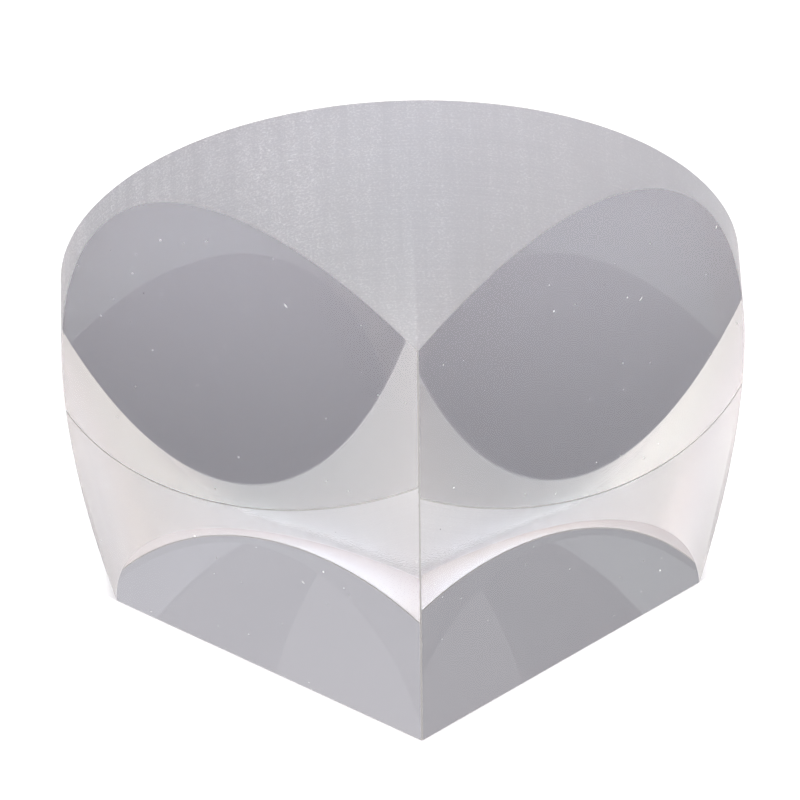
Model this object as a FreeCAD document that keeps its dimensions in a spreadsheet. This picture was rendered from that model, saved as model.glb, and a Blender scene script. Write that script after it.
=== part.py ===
import FreeCAD, Part
import Sketcher
import math
import os

# Corner-cube prism: one solid piece of optical glass.
#
# The blank is a round bar of glass. Three polished facets, square to each other, meet at the
# apex like the inside corner of a box. The flat round end opposite the apex is the polished
# entrance face, and the round wall between them is fine ground. Every edge has a narrow
# protective bevel.
#
# The body is drawn along its own optical axis: theoretical sharp apex at the local origin, optical
# axis on local +Z, entrance face at local z = prism_height. Its Placement then lays it on one facet.
#
# Row frame: +Z up, the resting facet on z = 0, the edge between the two side facets upright and
# facing -Y, the entrance face looking back and up (+Y, +Z), x = 0 the plane of symmetry, and the
# origin at the middle of the bounding box's underside. Millimetres.

NODE = "corner_cube_prism"

doc = FreeCAD.newDocument("corner_cube_prism_doc")

# ---------------------------------------------------------------- driving dimensions
sheet = doc.addObject("Spreadsheet::Sheet", "Dimensions")
rows = [
    ("barrel_diameter", 50.8, "diameter of the ground wall"),
    ("prism_height", 38.1, "sharp apex to entrance face, along the optical axis"),
    ("facet_angle", math.degrees(math.atan(1.0 / math.sqrt(2.0))), "facet to optical axis, degrees"),
    ("roof_angle", math.degrees(math.atan(math.sqrt(2.0))), "facet-to-facet edge to optical axis, degrees"),
    ("rim_bevel", 0.08, "leg of the bevel round the entrance face"),
    ("wall_bevel", 0.05, "leg of the bevels where a facet meets the wall"),
    ("roof_bevel_depth", 0.06, "depth of the flats on the facet-to-facet edges"),
    ("apex_flat_height", 0.18, "sharp apex to the small flat ground on it"),
    ("cutter_reach", 30.0, "how far the cutting profiles reach past the axis"),
    ("facet_count", 3, "facets round the axis"),
]
for i, (alias, value, note) in enumerate(rows, start=1):
    sheet.set("A%d" % i, note)
    sheet.set("B%d" % i, "%.10g" % value)
    sheet.setAlias("B%d" % i, alias)
doc.recompute()


def dim(alias):
    return "Dimensions." + alias


def value(alias):
    return float(sheet.get(alias))


def plane(body, role):
    for feature in body.Origin.OriginFeatures:
        if feature.Role == role:
            return feature
    raise RuntimeError("no origin feature " + role)


def sketch_on(body, name, role):
    s = body.newObject("Sketcher::SketchObject", name)
    s.AttachmentSupport = [(plane(body, role), "")]
    s.MapMode = "FlatFace"
    return s


def constrain(sketch, kind, args, value, name, expression):
    sketch.addConstraint(Sketcher.Constraint(kind, *args, value))
    index = sketch.ConstraintCount - 1
    sketch.renameConstraint(index, name)
    sketch.setExpression("Constraints." + name, expression)


V = FreeCAD.Vector
radius = value("barrel_diameter") / 2.0
height = value("prism_height")
reach = value("cutter_reach")
body = doc.addObject("PartDesign::Body", "PrismBody")
body.Label = NODE

# ---------------------------------------------------------------- glass blank
blank_sketch = sketch_on(body, "BlankCircle", "XY_Plane")
blank_sketch.AttachmentOffset = FreeCAD.Placement(V(0, 0, 0), FreeCAD.Rotation(V(0, 0, 1), 90))
blank_sketch.addGeometry(Part.Circle(V(0, 0, 0), V(0, 0, 1), radius), False)
blank_sketch.addConstraint(Sketcher.Constraint("Coincident", 0, 3, -1, 1))
constrain(blank_sketch, "Diameter", (0,), 2 * radius, "blank_dia", dim("barrel_diameter"))

blank = body.newObject("PartDesign::Pad", "Blank")
blank.Profile = blank_sketch
blank.Length = height
blank.setExpression("Length", dim("prism_height"))
doc.recompute()


# ---------------------------------------------------------------- three polished facets
# Profile in the local YZ plane: a triangle with one corner on the apex, one side along local +Y
# and one side along the facet. Everything outside the facet is taken off right across the blank.
def triangle(sketch, a, b, c):
    for p, q in ((a, b), (b, c), (c, a)):
        sketch.addGeometry(Part.LineSegment(V(p[0], p[1], 0), V(q[0], q[1], 0)), False)
    for first, second in ((0, 1), (1, 2), (2, 0)):
        sketch.addConstraint(Sketcher.Constraint("Coincident", first, 2, second, 1))


facet_sketch = sketch_on(body, "FacetProfile", "YZ_Plane")
top = reach * math.sqrt(2.0)
triangle(facet_sketch, (0, 0), (reach, 0), (reach, top))
facet_sketch.addConstraint(Sketcher.Constraint("Coincident", 0, 1, -1, 1))
facet_sketch.addConstraint(Sketcher.Constraint("Horizontal", 0))
facet_sketch.addConstraint(Sketcher.Constraint("Vertical", 1))
constrain(facet_sketch, "DistanceX", (0, 1, 0, 2), reach, "facet_reach", dim("cutter_reach"))
constrain(facet_sketch, "DistanceY", (1, 1, 1, 2), top, "facet_rise",
          dim("cutter_reach") + " / tan(" + dim("facet_angle") + " * 1 deg)")

facet_cut = body.newObject("PartDesign::Pocket", "FacetCut")
facet_cut.Profile = facet_sketch
facet_cut.SideType = "Symmetric"
facet_cut.Length = 2.0 * reach
facet_cut.setExpression("Length", "2 * " + dim("cutter_reach"))
doc.recompute()

facets = body.newObject("PartDesign::PolarPattern", "Facets")
facets.Originals = [facet_cut]
facets.Axis = (plane(body, "Z_Axis"), [""])
facets.Angle = 360.0
facets.Occurrences = 3
facets.setExpression("Occurrences", dim("facet_count"))
body.Tip = facets
doc.recompute()


# ---------------------------------------------------------------- bevels on the round edges
# The rim of the entrance face and the three elliptical arcs where the facets meet the wall.
# The seam of the round wall runs through the middle of the underside's arc, so it splits one in two.
def on_wall(edge):
    a, b = edge.ParameterRange
    points = [edge.valueAt(a + (b - a) * k / 8.0) for k in range(9)]
    if any(abs(math.hypot(p.x, p.y) - radius) > 1e-3 for p in points):
        return None
    if edge.Length < 1.0 or (abs(points[0].x - points[4].x) < 1e-6 and abs(points[0].y - points[4].y) < 1e-6):
        return None
    return "rim" if all(abs(p.z - height) < 1e-6 for p in points) else "arc"


def edges_of(shape, kind):
    return ["Edge%d" % (i + 1) for i, edge in enumerate(shape.Edges) if on_wall(edge) == kind]


arc_bevels = body.newObject("PartDesign::Chamfer", "WallBevels")
arc_bevels.Base = (facets, edges_of(facets.Shape, "arc"))
arc_bevels.Size = value("wall_bevel")
arc_bevels.setExpression("Size", dim("wall_bevel"))
body.Tip = arc_bevels
doc.recompute()

rim_bevel = body.newObject("PartDesign::Chamfer", "RimBevel")
rim_bevel.Base = (arc_bevels, edges_of(arc_bevels.Shape, "rim"))
rim_bevel.Size = value("rim_bevel")
rim_bevel.setExpression("Size", dim("rim_bevel"))
body.Tip = rim_bevel
doc.recompute()

# ---------------------------------------------------------------- flats on the facet-to-facet edges
# Profile in the local YZ plane, on the -Y side, where one of those edges runs out from the apex at
# roof_angle to the axis. Its long side is parallel to the edge and roof_bevel_depth inside it.
roof = math.radians(value("roof_angle"))
depth = value("roof_bevel_depth")


def flat_z(y):
    return (depth - y * math.cos(roof)) / math.sin(roof)


roof_sketch = sketch_on(body, "RoofEdgeProfile", "YZ_Plane")
y0, y1, low = 1.0, -reach, -2.0
corners = [(y0, low), (y0, flat_z(y0)), (y1, flat_z(y1)), (y1, low)]
for k in range(4):
    p, q = corners[k], corners[(k + 1) % 4]
    roof_sketch.addGeometry(Part.LineSegment(V(p[0], p[1], 0), V(q[0], q[1], 0)), False)
for k in range(4):
    roof_sketch.addConstraint(Sketcher.Constraint("Coincident", k, 2, (k + 1) % 4, 1))
roof_sketch.addConstraint(Sketcher.Constraint("Vertical", 0))
roof_sketch.addConstraint(Sketcher.Constraint("Vertical", 2))
roof_sketch.addConstraint(Sketcher.Constraint("Horizontal", 3))
constrain(roof_sketch, "DistanceX", (-1, 1, 0, 1), y0, "near_side", "1")
constrain(roof_sketch, "DistanceY", (0, 1, -1, 1), -low, "floor_drop", "2")
constrain(roof_sketch, "DistanceX", (1, 2, -1, 1), -y1, "far_side", dim("cutter_reach"))
constrain(roof_sketch, "DistanceY", (0, 1, 0, 2), flat_z(y0) - low, "near_rise",
          "2 + (" + dim("roof_bevel_depth") + " - cos(" + dim("roof_angle") + " * 1 deg)) / sin("
          + dim("roof_angle") + " * 1 deg)")
constrain(roof_sketch, "DistanceY", (2, 2, 2, 1), flat_z(y1) - low, "far_rise",
          "2 + (" + dim("roof_bevel_depth") + " + " + dim("cutter_reach") + " * cos("
          + dim("roof_angle") + " * 1 deg)) / sin(" + dim("roof_angle") + " * 1 deg)")

roof_cut = body.newObject("PartDesign::Pocket", "RoofEdgeCut")
roof_cut.Profile = roof_sketch
roof_cut.SideType = "Symmetric"
roof_cut.Length = 8.0
doc.recompute()

roof_flats = body.newObject("PartDesign::PolarPattern", "RoofEdgeFlats")
roof_flats.Originals = [roof_cut]
roof_flats.Axis = (plane(body, "Z_Axis"), [""])
roof_flats.Angle = 360.0
roof_flats.Occurrences = 3
roof_flats.setExpression("Occurrences", dim("facet_count"))
body.Tip = roof_flats
doc.recompute()

# ---------------------------------------------------------------- small flat on the apex
apex_sketch = sketch_on(body, "ApexCircle", "XY_Plane")
apex_sketch.AttachmentOffset = FreeCAD.Placement(V(0, 0, value("apex_flat_height")), FreeCAD.Rotation())
apex_sketch.setExpression("AttachmentOffset.Base.z", dim("apex_flat_height"))
apex_sketch.addGeometry(Part.Circle(V(0, 0, 0), V(0, 0, 1), 1.5), False)
apex_sketch.addConstraint(Sketcher.Constraint("Coincident", 0, 3, -1, 1))
constrain(apex_sketch, "Radius", (0,), 1.5, "apex_clear", "1.5")

apex_flat = body.newObject("PartDesign::Pocket", "ApexFlat")
apex_flat.Profile = apex_sketch
apex_flat.Length = 1.0
body.Tip = apex_flat
doc.recompute()

# ---------------------------------------------------------------- lay it on one facet
# Turned about X so that the facet on local +Y lies on the ground. The rim bevel sets the rearmost
# point, and the flat on the upright edge sets the foremost one, so the box's middle follows from them.
turn = FreeCAD.Rotation(V(1, 0, 0), -value("roof_angle"))
rim = value("rim_bevel")
rear = max(
    turn.multVec(V(0, radius - rim, height)).y,
    turn.multVec(V(0, radius, height - rim)).y,
)
front = depth
body.Placement = FreeCAD.Placement(V(0, -(rear + front) / 2.0, 0), turn)
doc.recompute()

# ---------------------------------------------------------------- checks, then the STEP file
for obj in doc.Objects:
    if any(flag in ("Invalid", "Error") for flag in obj.State):
        raise RuntimeError("%s failed: %s" % (obj.Name, obj.State))

steps = (blank, facet_cut, facets, arc_bevels, rim_bevel, roof_cut, roof_flats, apex_flat)
for before, after in zip(steps, steps[1:]):
    if not after.Shape.Volume < before.Shape.Volume - 1e-6:
        raise RuntimeError("%s takes nothing off" % after.Name)

shape = body.Shape
if shape.isNull() or not shape.isValid() or len(shape.Solids) != 1:
    raise RuntimeError("the prism isn't one valid solid")

print("faces", len(shape.Faces), "edges", len(shape.Edges), "volume_mm3", round(shape.Volume, 3))
box = shape.optimalBoundingBox(False)
print("box", [round(x, 4) for x in (box.XMin, box.YMin, box.ZMin, box.XMax, box.YMax, box.ZMax)])
for step in steps:
    print(step.Name, round(step.Shape.Volume, 4), "valid", step.Shape.isValid())

os.makedirs("parts", exist_ok=True)
shape.exportStep("parts/%s.step" % NODE)
print("wrote", NODE)
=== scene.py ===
import math
import random

import bmesh
import bpy
from mathutils import Matrix, Vector, noise


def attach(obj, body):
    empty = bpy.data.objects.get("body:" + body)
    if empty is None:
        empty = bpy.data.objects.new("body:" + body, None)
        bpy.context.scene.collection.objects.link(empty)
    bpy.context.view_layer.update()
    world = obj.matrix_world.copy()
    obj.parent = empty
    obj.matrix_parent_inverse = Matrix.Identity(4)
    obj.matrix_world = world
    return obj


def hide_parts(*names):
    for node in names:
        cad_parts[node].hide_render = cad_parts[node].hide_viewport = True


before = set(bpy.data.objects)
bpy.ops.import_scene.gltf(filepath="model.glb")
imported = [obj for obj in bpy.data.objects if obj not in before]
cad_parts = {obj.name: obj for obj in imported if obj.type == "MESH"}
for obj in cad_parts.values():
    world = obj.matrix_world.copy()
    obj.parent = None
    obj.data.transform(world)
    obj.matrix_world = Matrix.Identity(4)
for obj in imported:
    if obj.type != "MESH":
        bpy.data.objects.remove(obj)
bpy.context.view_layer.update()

scene = bpy.context.scene

# ---------------------------------------------------------------------------
# Camera first: the photograph's viewing angle. Position and axes in the row
# frame, lens for a 36 mm sensor and a square picture.
# ---------------------------------------------------------------------------
right = Vector((0.9990285044, -0.0425371090, -0.0115170206))
down = Vector((-0.0294875049, -0.4510276901, -0.8920227070))
forward = Vector((0.0327495719, 0.8914957191, -0.4518438319))
cam_data = bpy.data.cameras.new("camera")
cam_data.lens = 224.7971
cam_data.sensor_width = 36.0
cam_data.clip_start = 0.01
cam_data.clip_end = 50.0
cam = bpy.data.objects.new("camera", cam_data)
scene.collection.objects.link(cam)
cam.matrix_world = Matrix((
    (right.x, -down.x, -forward.x, -0.01254284137),
    (right.y, -down.y, -forward.y, -0.32986731557),
    (right.z, -down.z, -forward.z, 0.18296246447),
    (0, 0, 0, 1),
))
scene.camera = cam

# ---------------------------------------------------------------------------
# Shape. Millimetres in the prism's own optical frame: sharp apex at the
# origin, optical axis +Z, entrance face at z = HEIGHT.
# ---------------------------------------------------------------------------
RADIUS = 25.4
HEIGHT = 38.1
RIM = 0.08            # bevel round the entrance face
ARC_BEVEL = 0.05      # bevel where a facet meets the ground wall
ROOF_DEPTH = 0.060    # depth of the narrow flats on the roof edges
APEX_Z = 0.18
COLUMNS = 1440        # columns round the wall, a multiple of 12
ROOF_ROWS = 300       # stations along a roof edge
FACETS = (90, 210, 330)
S3, S2, S23 = math.sqrt(3), math.sqrt(2), math.sqrt(2 / 3)
Y_SHIFT = 22.893514274613842

POLISHED, GROUND, BEVEL, RIM_BEVEL = 0, 1, 2, 3


def to_row(p):
    """Optical frame in mm to the row frame in metres, lying on one facet."""
    x, y, z = p
    return Vector((x, y / S3 + S23 * z - Y_SHIFT, -S23 * y + z / S3)) * 0.001


def wobble(x, seed, size):
    """Smooth signed noise along a line, about -1 to 1."""
    return noise.noise(Vector((x / size, seed * 7.31, 3.7))) * 1.6


def polar(r, azimuth, z):
    return Vector((r * math.cos(azimuth), r * math.sin(azimuth), z))


bm = bmesh.new()
uv = bm.loops.layers.uv.new("UVMap")
step = 2 * math.pi / COLUMNS
per_sector = COLUMNS // 3


def arc_width(azimuth):
    """The hand-ground arc bevels vary a little in width round the prism."""
    a = math.degrees(azimuth)
    return ARC_BEVEL * (1 + 0.13 * wobble(a, 1, 9.0) + 0.06 * wobble(a, 2, 1.7))


def off_centre(i):
    """Angle of column i from the centre of the nearest facet."""
    a = (i * step - math.radians(90)) % (2 * math.pi / 3)
    return a if a <= math.pi / 3 + 1e-9 else a - 2 * math.pi / 3


wall_low, wall_top, rim_top, facet_edge = [], [], [], []
for i in range(COLUMNS):
    azimuth = i * step
    t = off_centre(i)
    b = arc_width(azimuth)
    z0 = S2 * RADIUS * math.cos(t)
    wall_low.append(bm.verts.new(to_row(polar(RADIUS, azimuth, z0 + b * math.sqrt(1 + 2 * math.sin(t) ** 2)))))
    rim_b = RIM * (1 + 0.10 * wobble(math.degrees(azimuth), 3, 11.0) + 0.05 * wobble(math.degrees(azimuth), 4, 1.9))
    rim_b = min(rim_b, RIM * 1.2)
    wall_top.append(bm.verts.new(to_row(polar(RADIUS, azimuth, HEIGHT - rim_b))))
    rim_top.append(bm.verts.new(to_row(polar(RADIUS - rim_b, azimuth, HEIGHT))))
    r_f = RADIUS - b * math.sqrt(math.cos(t) ** 2 / 3 + math.sin(t) ** 2)
    if abs(abs(t) - math.pi / 3) < 1e-6:
        facet_edge.append(None)       # a roof edge: its corner is made below
    else:
        facet_edge.append(bm.verts.new(to_row(polar(r_f, azimuth, S2 * r_f * math.cos(t)))))

CHIPS = random.Random(11)


def leg_profile(seed):
    """Leg of a roof-edge flat on one facet, at each station from apex to wall.
    Mostly even, with a slow drift and a few small chips."""
    chips = [(CHIPS.uniform(0.08, 0.96) * ROOF_ROWS, CHIPS.uniform(0.8, 2.4), CHIPS.uniform(0.01, 0.045)) for _ in range(7)]
    legs = []
    for j in range(ROOF_ROWS + 1):
        w = 1 + 0.07 * wobble(j, seed, 40.0) + 0.03 * wobble(j, seed + 50, 5.0)
        extra = sum(h * max(0.0, 1 - ((j - c) / w_) ** 2) for c, w_, h in chips)
        fade = min(1.0, j / 10, (ROOF_ROWS - j) / 10)
        legs.append(S2 * ROOF_DEPTH * (1 + (w - 1) * fade) + extra * fade)
    return legs


rows = {}       # (alpha, facet) -> vertices from the apex to the wall
mitre = {}
for n_edge, alpha in enumerate((30, 150, 270)):
    a = math.radians(alpha)
    column = round(a / step) % COLUMNS
    e = Vector((S23 * math.cos(a), S23 * math.sin(a), 1 / S3))      # along the roof edge
    b = arc_width(a)
    # where the two arc bevels meet in a mitre and the roof flat ends on it
    r_f = RADIUS - b * math.sqrt(5 / 6)
    z_f = r_f / S2
    z_w = RADIUS / S2 + b * math.sqrt(2.5)
    slope = (z_w - z_f) / (RADIUS - r_f)
    flat_rise = ROOF_DEPTH / S23
    x = (flat_rise + r_f / S2 - z_f) / (slope - 1 / S2)
    mitre[alpha] = bm.verts.new(to_row(polar(r_f + x, a, z_f + slope * x)))
    for side in (-60, 60):
        facet = (alpha + side) % 360
        f = math.radians(facet)
        # in-plane direction, square to the roof edge, into this facet
        n_f = Vector((S2 * math.cos(f), S2 * math.sin(f), -1)) / S3
        into = n_f.cross(e)
        up_f = Vector((math.cos(f), math.sin(f), S2)) / S3
        if into.dot(up_f - e * up_f.dot(e)) < 0:
            into = -into
        nominal = S2 * ROOF_DEPTH
        # first station: on the apex flat; last station: on the facet's arc
        m = Vector((math.cos(a) / S3, math.sin(a) / S3, -S23))
        start = (APEX_Z - nominal * into.z) / e.z
        # find the station where the row meets the facet-side curve of the arc bevel
        lo, hi = 10.0, 45.0
        for _ in range(60):
            mid = (lo + hi) / 2
            p = e * mid + into * nominal
            az = math.atan2(p.y, p.x)
            t = (az - f + math.pi) % (2 * math.pi) - math.pi
            bb = arc_width(az % (2 * math.pi))
            limit = RADIUS - bb * math.sqrt(math.cos(t) ** 2 / 3 + math.sin(t) ** 2)
            if math.hypot(p.x, p.y) < limit:
                lo = mid
            else:
                hi = mid
        end = lo
        legs = leg_profile(n_edge * 10 + (side > 0) * 5 + 1)
        line = []
        for j in range(ROOF_ROWS + 1):
            s = start + (end - start) * j / ROOF_ROWS
            if j == 0:
                p = e * start + into * nominal
            else:
                p = e * s + into * legs[j]
            line.append(bm.verts.new(to_row(p)))
        rows[alpha, facet] = line

faces = []


def face(verts, material, smooth=False):
    f = bm.faces.new(verts)
    f.material_index = material
    f.smooth = smooth
    faces.append(f)
    return f


# the wall, its rim bevel and the entrance face
for i in range(COLUMNS):
    k = (i + 1) % COLUMNS
    face((wall_low[i], wall_low[k], wall_top[k], wall_top[i]), GROUND, True)
    face((wall_top[i], wall_top[k], rim_top[k], rim_top[i]), RIM_BEVEL, True)
face(rim_top, POLISHED)

# the arc bevels, between the facets and the wall
for i in range(COLUMNS):
    k = (i + 1) % COLUMNS
    lo_a, lo_b = facet_edge[i], facet_edge[k]
    if lo_a is not None and lo_b is not None:
        face((lo_a, lo_b, wall_low[k], wall_low[i]), GROUND, True)
    elif lo_b is None:                      # this column ends on a roof edge
        alpha = round(math.degrees(k * step)) % 360
        facet = (alpha - 60) % 360
        face((lo_a, rows[alpha, facet][-1], mitre[alpha], wall_low[k], wall_low[i]), GROUND)
    else:
        alpha = round(math.degrees(i * step)) % 360
        facet = (alpha + 60) % 360
        face((rows[alpha, facet][-1], lo_b, wall_low[k], wall_low[i], mitre[alpha]), GROUND)

# the three facets
for facet in FACETS:
    first = (facet - 60) % 360
    last = (facet + 60) % 360
    i0 = round(math.radians(first) / step)
    ring = list(rows[first, facet])
    ring += [facet_edge[(i0 + d) % COLUMNS] for d in range(1, per_sector)]
    ring += reversed(rows[last, facet])
    face(ring, POLISHED)

# the roof-edge flats and the apex flat
for alpha in (30, 150, 270):
    before = rows[alpha, (alpha - 60) % 360]
    after = rows[alpha, (alpha + 60) % 360]
    for j in range(ROOF_ROWS):
        face((before[j], before[j + 1], after[j + 1], after[j]), BEVEL, True)
    face((before[-1], mitre[alpha], after[-1]), BEVEL)
apex = []
for alpha in (30, 150, 270):
    apex += [rows[alpha, (alpha - 60) % 360][0], rows[alpha, (alpha + 60) % 360][0]]
face(apex, BEVEL)

bmesh.ops.recalc_face_normals(bm, faces=bm.faces)
for edge in bm.edges:
    a, b = (list(edge.link_faces) + [None, None])[:2]
    if b is None or a.material_index != b.material_index or not (a.smooth and b.smooth):
        edge.smooth = False

# UVs in millimetres: round the wall and along the axis on the wall, and the
# plane's own axes on the flat faces.
for f in bm.faces:
    c = f.calc_center_median() * 1000
    if f.material_index == POLISHED:
        n = f.normal
        ax = n.orthogonal().normalized()
        ay = n.cross(ax)
        for loop in f.loops:
            p = loop.vert.co * 1000
            loop[uv].uv = (p.dot(ax), p.dot(ay))
    else:
        angles = []
        for loop in f.loops:
            p = loop.vert.co * 1000
            y_, z_ = p.y + Y_SHIFT, p.z
            lx, ly, lz = p.x, y_ / S3 - S23 * z_, S23 * y_ + z_ / S3
            a = math.atan2(ly, lx) - math.radians(90)
            angles.append((a % (2 * math.pi), lz))
        top = max(a for a, _ in angles)
        for loop, (a, z) in zip(f.loops, angles):
            if top - a > math.pi:
                a += 2 * math.pi
            loop[uv].uv = (a * RADIUS, z)

mesh = bpy.data.meshes.new("prism_glass")
bm.to_mesh(mesh)
bm.free()
prism = bpy.data.objects.new("prism_glass", mesh)
scene.collection.objects.link(prism)
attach(prism, "root")
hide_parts("corner_cube_prism")


# ---------------------------------------------------------------------------
# Materials
# ---------------------------------------------------------------------------
class Nodes:
    """Small helper that adds nodes and links them in one call."""

    def __init__(self, tree):
        self.tree = tree
        tree.nodes.clear()

    def add(self, kind, inputs=None, **settings):
        node = self.tree.nodes.new(kind)
        for key, value in settings.items():
            setattr(node, key, value)
        for key, value in (inputs or {}).items():
            socket = node.inputs[key]
            if isinstance(value, bpy.types.NodeSocket):
                self.tree.links.new(value, socket)
            else:
                socket.default_value = value
        return node

    def math(self, operation, a, b=None, c=None, clamp=False):
        ins = {0: a}
        if b is not None:
            ins[1] = b
        if c is not None:
            ins[2] = c
        return self.add("ShaderNodeMath", ins, operation=operation, use_clamp=clamp).outputs[0]

    def span(self, value, a, b, c, d, smooth=False):
        return self.add("ShaderNodeMapRange", {0: value, 1: a, 2: b, 3: c, 4: d},
                        interpolation_type="SMOOTHSTEP" if smooth else "LINEAR").outputs[0]

    def mapped(self, vector, scale, location=(0, 0, 0), rotation=(0, 0, 0)):
        return self.add("ShaderNodeMapping", {"Vector": vector, "Scale": scale, "Location": location,
                                              "Rotation": rotation}).outputs[0]

    def noise(self, vector, scale, detail=2.0, roughness=0.5, distortion=0.0):
        return self.add("ShaderNodeTexNoise", {"Vector": vector, "Scale": scale, "Detail": detail,
                                               "Roughness": roughness, "Distortion": distortion}).outputs[0]

    def colour_mix(self, factor, a, b):
        node = self.tree.nodes.new("ShaderNodeMix")
        node.data_type = "RGBA"
        for socket, value in zip((node.inputs[0], node.inputs[6], node.inputs[7]), (factor, a, b)):
            if isinstance(value, bpy.types.NodeSocket):
                self.tree.links.new(value, socket)
            else:
                socket.default_value = value
        return node.outputs[2]

    def mix(self, factor, a, b):
        return self.add("ShaderNodeMixShader", {0: factor, 1: a, 2: b}).outputs[0]

    def specks(self, vector, share, largest, edge):
        """Sparse specks: about one cell in 1/share has one, up to largest across."""
        cell = self.add("ShaderNodeTexVoronoi", {"Vector": vector, "Scale": 1.0}, voronoi_dimensions="2D")
        pick = self.add("ShaderNodeSeparateColor", {0: cell.outputs["Color"]}).outputs[0]
        radius = self.span(pick, 1.0 - share, 1.0, -edge, largest)
        return self.math("DIVIDE", self.math("SUBTRACT", radius, cell.outputs["Distance"]), edge, clamp=True)


def new_material(name):
    material = bpy.data.materials.new(name)
    material.use_nodes = True
    return material, Nodes(material.node_tree)


# Polished optical glass, with the index of refraction of crown glass.
glass, n = new_material("glass_polished")
coord = n.add("ShaderNodeUVMap", uv_map="UVMap").outputs[0]
smudge = n.span(n.noise(n.mapped(coord, (0.09, 0.14, 1)), 1.0, 4.0, 0.6), 0.60, 0.78, 0.0, 1.0, True)
fine = n.noise(n.mapped(coord, (3, 3, 1)), 1.0, 3.0, 0.6)
hair = n.add("ShaderNodeTexVoronoi", {"Vector": n.mapped(coord, (0.05, 1.6, 1), rotation=(0, 0, 0.9)), "Scale": 1.0},
             feature="DISTANCE_TO_EDGE").outputs["Distance"]
hair_line = n.span(hair, 0.0, 0.012, 1.0, 0.0)
hair_gate = n.span(n.noise(n.mapped(coord, (0.2, 0.2, 1)), 1.0, 1.0), 0.62, 0.70, 0.0, 1.0, True)
bump = n.add("ShaderNodeBump", {"Strength": 0.02, "Distance": 0.00001,
                                "Height": n.math("ADD", n.math("MULTIPLY", hair_line, hair_gate),
                                                 n.math("MULTIPLY", fine, 0.05))}).outputs[0]
rough = n.math("MULTIPLY", smudge, n.span(fine, 0.3, 0.7, 0.0, 0.012))
clear = n.add("ShaderNodeBsdfGlass", {"Color": (1, 1, 1, 1), "Roughness": rough, "IOR": 1.5168, "Normal": bump}).outputs[0]
# a little dust: pale dots and short fibres, and a few dark specks
dots = n.specks(n.mapped(coord, (0.20, 0.20, 1)), 0.75, 0.019, 0.005)
fibres = n.specks(n.mapped(coord, (0.05, 0.22, 1), (7.3, 2.1, 0), (0, 0, 0.7)), 0.5, 0.016, 0.005)
dark = n.specks(n.mapped(coord, (0.12, 0.12, 1), (3.7, 9.4, 0)), 0.6, 0.009, 0.004)
pale = n.math("MULTIPLY", n.math("MAXIMUM", dots, fibres), 0.8)
dust = n.add("ShaderNodeBsdfDiffuse", {"Color": (0.9, 0.9, 0.9, 1)}).outputs[0]
grit = n.add("ShaderNodeBsdfDiffuse", {"Color": (0.16, 0.15, 0.14, 1)}).outputs[0]
out = n.mix(n.math("MULTIPLY", dark, 0.55), n.mix(pale, clear, dust), grit)
n.add("ShaderNodeOutputMaterial", {"Surface": out})

# Fine-ground glass of the wall: a frosted surface with grain and faint
# grinding lines that run round the prism, with painted sparkle and painted
# glints in its colour.
ground, n = new_material("glass_ground")
coord = n.add("ShaderNodeUVMap", uv_map="UVMap").outputs[0]
round_wall = n.add("ShaderNodeSeparateXYZ", {0: coord}).outputs["X"]
# grain, painted sparkle and painted glints show stronger on one side of the prism than on the other
turn = n.math("COSINE", n.math("DIVIDE", n.math("SUBTRACT", round_wall, 44.0), RADIUS))
turn = n.math("MULTIPLY_ADD", turn, 0.5, 0.5)
one_side_contrast = n.math("MULTIPLY_ADD", n.math("MULTIPLY", turn, turn), 1.17, 0.33)
grain = n.noise(n.mapped(coord, (5.5, 7.0, 1)), 1.0, 3.0, 0.7)
lines = n.noise(n.mapped(coord, (0.04, 7.0, 1)), 1.0, 2.0, 0.65)
bands = n.noise(n.mapped(coord, (0.9, 0.05, 1)), 1.0, 2.0, 0.6)
pits = n.noise(n.mapped(coord, (3.2, 7.5, 1), (4.1, 8.8, 0)), 1.0, 1.0, 0.5)
# painted glints: bright pits in the grain, raised in the colour and the diffuse share
painted_glint = n.math("MULTIPLY", n.span(pits, 0.62, 0.72, 0.0, 1.0), n.span(bands, 0.42, 0.60, 0.2, 1.0))
painted_glint = n.math("MULTIPLY", painted_glint, one_side_contrast)
coarse = n.noise(n.mapped(coord, (0.6, 1.1, 1)), 1.0, 3.0, 0.6)
deep = n.span(n.noise(n.mapped(coord, (0.05, 2.2, 1)), 1.0, 2.0, 0.6), 0.62, 0.72, 0.0, 1.0, True)
# painted sparkle: the grain's brightest points, made lighter in the colour
painted_sparkle = n.span(grain, 0.45, 0.80, 0.0, 1.0)
patch = n.math("MULTIPLY", n.span(bands, 0.35, 0.65, 0.70, 1.30), n.span(coarse, 0.35, 0.65, 0.55, 1.45))
level = n.math("MULTIPLY", n.math("MULTIPLY", n.math("MULTIPLY", painted_sparkle, painted_sparkle), patch), 2.7)
# seen from inside the glass the painted sparkle and glints fade to their mean, and the bump is weaker
through = n.math("MULTIPLY", n.add("ShaderNodeNewGeometry").outputs["Backfacing"], 0.75)
plainer = n.math("SUBTRACT", 1.0, through)
level = n.math("ADD", n.math("MULTIPLY", level, plainer), n.math("MULTIPLY", through, 0.15))
painted_glint = n.math("ADD", n.math("MULTIPLY", painted_glint, plainer), n.math("MULTIPLY", through, 0.04))
level = n.math("ADD", level, n.math("MULTIPLY_ADD", lines, 0.6, -0.30))
level = n.math("ADD", level, n.math("MULTIPLY_ADD", bands, 0.35, -0.17))
level = n.math("MULTIPLY", level, one_side_contrast)
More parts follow.
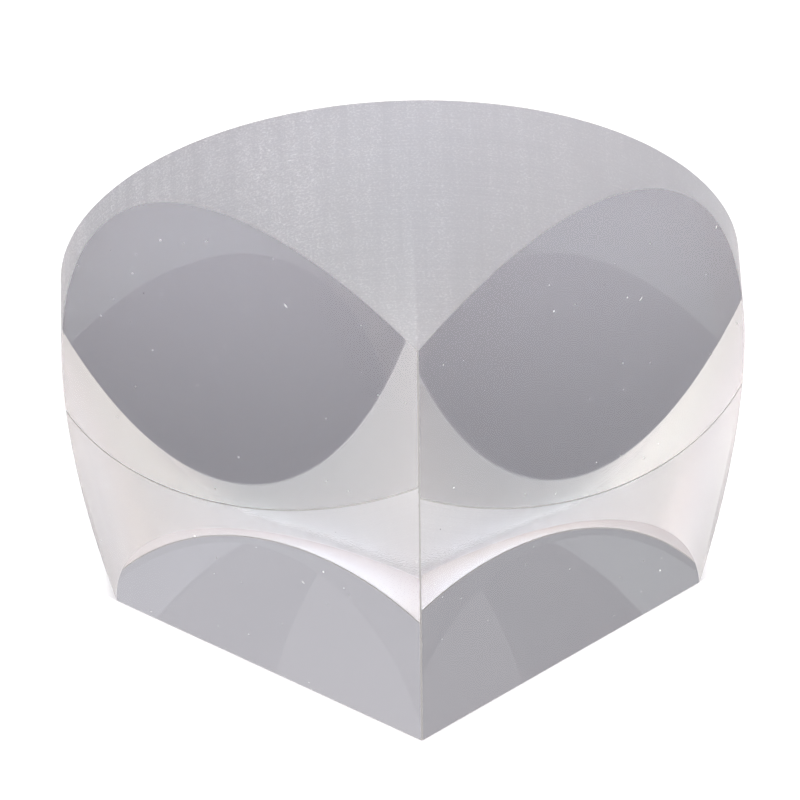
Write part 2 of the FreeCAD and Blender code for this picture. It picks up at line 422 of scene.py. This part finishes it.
# painted shade: that side of the wall is darker
level = n.math("ADD", n.math("ADD", level, painted_glint), n.math("MULTIPLY_ADD", n.math("MULTIPLY", turn, turn), -0.40, 0.42))
height = n.math("ADD", n.math("MULTIPLY", grain, 1.0), n.math("MULTIPLY", lines, 0.12))
height = n.math("ADD", height, n.math("MULTIPLY", deep, -0.08))
bump = n.add("ShaderNodeBump", {"Strength": n.math("MULTIPLY", plainer, 0.25), "Distance": 0.00006, "Height": height}).outputs[0]
rough = n.span(coarse, 0.3, 0.7, 0.435, 0.465)
tint = n.colour_mix(level, (0.80, 0.80, 0.81, 1), (1.0, 1.0, 1.0, 1))
chalk = n.colour_mix(level, (0.76, 0.765, 0.785, 1), (0.99, 0.99, 1.0, 1))
frost = n.add("ShaderNodeBsdfGlass", {"Color": tint, "Roughness": rough, "IOR": 1.5168, "Normal": bump}).outputs[0]
powder = n.add("ShaderNodeBsdfDiffuse", {"Color": chalk, "Normal": bump}).outputs[0]
share = n.math("MULTIPLY_ADD", painted_glint, 0.30, 0.17)
n.add("ShaderNodeOutputMaterial", {"Surface": n.mix(share, frost, powder)})

# The narrow bevels are ground a little finer.
bevel, n = new_material("glass_bevel")
coord = n.add("ShaderNodeUVMap", uv_map="UVMap").outputs[0]
grain = n.noise(coord, 9.0, 3.0, 0.6)
bump = n.add("ShaderNodeBump", {"Strength": 0.3, "Distance": 0.00003, "Height": grain}).outputs[0]
rough = n.span(n.noise(n.mapped(coord, (0.5, 0.5, 1)), 1.0, 3.0), 0.3, 0.7, 0.40, 0.55)
tint = n.colour_mix(grain, (0.72, 0.71, 0.70, 1), (0.86, 0.85, 0.84, 1))
frost = n.add("ShaderNodeBsdfGlass", {"Color": tint, "Roughness": rough, "IOR": 1.5168, "Normal": bump}).outputs[0]
powder = n.add("ShaderNodeBsdfDiffuse", {"Color": (0.385, 0.372, 0.368, 1), "Normal": bump}).outputs[0]
n.add("ShaderNodeOutputMaterial", {"Surface": n.mix(0.8, frost, powder)})

# The bevel round the entrance face is left rougher than the others, and its
# tint is darker: painted shade for the dark line it shows from inside the glass.
rim_bevel, n = new_material("glass_rim_bevel")
coord = n.add("ShaderNodeUVMap", uv_map="UVMap").outputs[0]
grain = n.noise(coord, 7.0, 3.0, 0.6)
bump = n.add("ShaderNodeBump", {"Strength": 0.3, "Distance": 0.00003, "Height": grain}).outputs[0]
rough = n.span(n.noise(n.mapped(coord, (0.5, 0.5, 1)), 1.0, 3.0), 0.3, 0.7, 0.50, 0.60)
tint = n.colour_mix(grain, (0.52, 0.51, 0.50, 1), (0.72, 0.71, 0.70, 1))
frost = n.add("ShaderNodeBsdfGlass", {"Color": tint, "Roughness": rough, "IOR": 1.5168, "Normal": bump}).outputs[0]
powder = n.add("ShaderNodeBsdfDiffuse", {"Color": tint, "Normal": bump}).outputs[0]
n.add("ShaderNodeOutputMaterial", {"Surface": n.mix(0.5, frost, powder)})

for material in (glass, ground, bevel, rim_bevel):
    mesh.materials.append(material)

# ---------------------------------------------------------------------------
# Floor: a pale, softly backlit tabletop, a tenth of a millimetre under the
# prism, so that the resting facet keeps its air gap as dry glass does. A
# painted shadow masks the backlight under the facet it rests on and dims it
# just behind the prism, and the paper under the facet is painted darker: painted shade.
# ---------------------------------------------------------------------------
floor_mat, n = new_material("floor_paper")
place = n.add("ShaderNodeTexCoord").outputs["Object"]
tone = n.add("ShaderNodeValToRGB", {"Fac": n.noise(place, 900.0, 3.0, 0.6)})
tone.color_ramp.elements[0].color = (0.33, 0.33, 0.335, 1)
tone.color_ramp.elements[1].color = (0.37, 0.37, 0.375, 1)
axes = n.add("ShaderNodeSeparateXYZ", {0: place})
east, north = axes.outputs["X"], axes.outputs["Y"]
away = n.math("ABSOLUTE", east)
front = n.math("SUBTRACT", n.math("ADD", north, Y_SHIFT * 0.001), away)
# 1 on the rear arc of the resting facet, more behind it
across = n.math("DIVIDE", east, RADIUS * 0.001)
along = n.math("DIVIDE", n.math("ADD", north, Y_SHIFT * 0.001), S3 * RADIUS * 0.001)
rear = n.math("SQRT", n.math("ADD", n.math("MULTIPLY", across, across), n.math("MULTIPLY", along, along)))
# painted shadow: the backlight is masked under the resting facet
painted_shadow = n.math("MULTIPLY", n.span(front, 0.0001, 0.0004, 0.0, 1.0),
                 n.span(away, 0.0210, 0.0235, 1.0, 0.0, True))
# painted shadow just behind the prism, deeper towards -X
behind = n.math("MULTIPLY", n.span(rear, 1.10, 1.40, 1.0, 0.0, True),
                n.span(east, -0.016, 0.018, 0.82, 0.62))
painted_shadow = n.math("MULTIPLY", painted_shadow, n.math("MAXIMUM", n.span(rear, 0.995, 1.003, 1.0, 0.0), behind))
glow = n.math("MULTIPLY", n.math("SUBTRACT", 1.0, painted_shadow), 0.74)
# painted shade: the paper under the prism is darker, most towards the rear
shade = n.colour_mix(n.span(north, -0.004, 0.020, 0.0, 1.0, True), (0.464, 0.453, 0.488, 1), (0.288, 0.282, 0.306, 1))
shade = n.colour_mix(painted_shadow, tone.outputs[0], shade)
paper = n.add("ShaderNodeBsdfDiffuse", {"Color": shade}).outputs[0]
backlight = n.add("ShaderNodeEmission", {"Color": (1, 1, 1, 1), "Strength": glow}).outputs[0]
n.add("ShaderNodeOutputMaterial", {"Surface": n.add("ShaderNodeAddShader", {0: paper, 1: backlight}).outputs[0]})
FLOOR_Z = -0.00008
half = 4.0
floor_mesh = bpy.data.meshes.new("floor")
floor_mesh.from_pydata([(-half, -half, FLOOR_Z), (half, -half, FLOOR_Z), (half, half, FLOOR_Z), (-half, half, FLOOR_Z)],
                       [], [(0, 1, 2, 3)])
floor_mesh.materials.append(floor_mat)
floor = bpy.data.objects.new("floor", floor_mesh)
scene.collection.objects.link(floor)

# ---------------------------------------------------------------------------
# Soft studio light: a plain room whose walls and diffusers glow unevenly, dim
# behind the table, bright and a little warm to both sides, and dark where the
# camera stands, with a cool softbox overhead. Each row is one height above the
# table in degrees, with its colours at even steps round it from +X.
# ---------------------------------------------------------------------------
ROOM = (
    (7.5, ((0.99, 0.87, 0.82), (0.41, 0.41, 0.45), (0.00, 0.00, 0.00), (0.31, 0.31, 0.34),
           (0.86, 0.78, 0.71), (1.80, 1.85, 1.53), (2.02, 2.41, 2.44), (1.24, 1.23, 1.09))),
    (27.5, ((1.69, 1.44, 1.39), (0.96, 0.80, 0.77), (0.00, 0.00, 0.00), (0.29, 0.16, 0.16),
           (1.43, 1.24, 1.26), (2.57, 2.14, 2.05), (0.11, 0.15, 0.23), (1.55, 1.27, 1.05))),
    (52.5, ((1.56, 1.52, 1.58), (0.68, 0.43, 0.40), (0.72, 0.44, 0.26),
           (1.55, 1.45, 1.55), (2.93, 3.15, 3.11), (2.27, 2.31, 2.49))),
    (90.0, ((1.78, 1.98, 2.32),)),
)
SPREAD = 60.0       # how softly one part of the room passes into the next

world = bpy.data.worlds.new("studio")
world.use_nodes = True
scene.world = world
n = Nodes(world.node_tree)
direction = n.add("ShaderNodeTexCoord").outputs["Generated"]
total, light = 0.0, (0.0, 0.0, 0.0)
for height_deg, colours in ROOM:
    up = math.radians(height_deg)
    for i, colour in enumerate(colours):
        turn = 2 * math.pi * i / len(colours)
        centre = (math.cos(up) * math.cos(turn), math.cos(up) * math.sin(turn), math.sin(up))
        near = n.add("ShaderNodeVectorMath", {0: direction, 1: centre}, operation="DOT_PRODUCT").outputs["Value"]
        weight = n.math("EXPONENT", n.math("MULTIPLY_ADD", near, SPREAD, -SPREAD))
        light = n.add("ShaderNodeVectorMath", {0: colour, 1: weight, 2: light}, operation="MULTIPLY_ADD").outputs["Vector"]
        total = n.math("ADD", weight, total)
light = n.add("ShaderNodeVectorMath", {0: light, 1: total}, operation="DIVIDE").outputs["Vector"]
# seen directly, past the edge of the table, the room is one plain pale tone
seen = n.add("ShaderNodeLightPath").outputs["Is Camera Ray"]
light = n.colour_mix(seen, light, (1.05, 1.05, 1.05, 1))
room = n.add("ShaderNodeBackground", {"Color": light, "Strength": 1.0}).outputs[0]
n.add("ShaderNodeOutputWorld", {"Surface": room})


def softbox(name, place, target, width, depth, radiance, colour=(1, 1, 1)):
    data = bpy.data.lights.new(name, "AREA")
    data.shape = "RECTANGLE"
    data.size, data.size_y = width, depth
    data.energy = radiance * math.pi * width * depth
    data.color = colour
    light = bpy.data.objects.new(name, data)
    scene.collection.objects.link(light)
    light.location = place
    light.rotation_mode = "QUATERNION"
    light.rotation_quaternion = (Vector(target) - Vector(place)).to_track_quat("-Z", "Y")
    return light


softbox("softbox_top", (0.0, 0.0, 1.0), (0, 0, 0), 0.93, 0.93, 0.40, (1.0, 1.0, 1.12))

# ---------------------------------------------------------------------------
# Picture: plain view transform, enough light bounces for a solid prism.
# ---------------------------------------------------------------------------
scene.view_settings.view_transform = "Standard"
scene.view_settings.look = "None"
scene.cycles.max_bounces = 24
scene.cycles.transmission_bounces = 24
scene.cycles.glossy_bounces = 12
scene.cycles.diffuse_bounces = 4
scene.cycles.caustics_reflective = True
scene.cycles.caustics_refractive = True
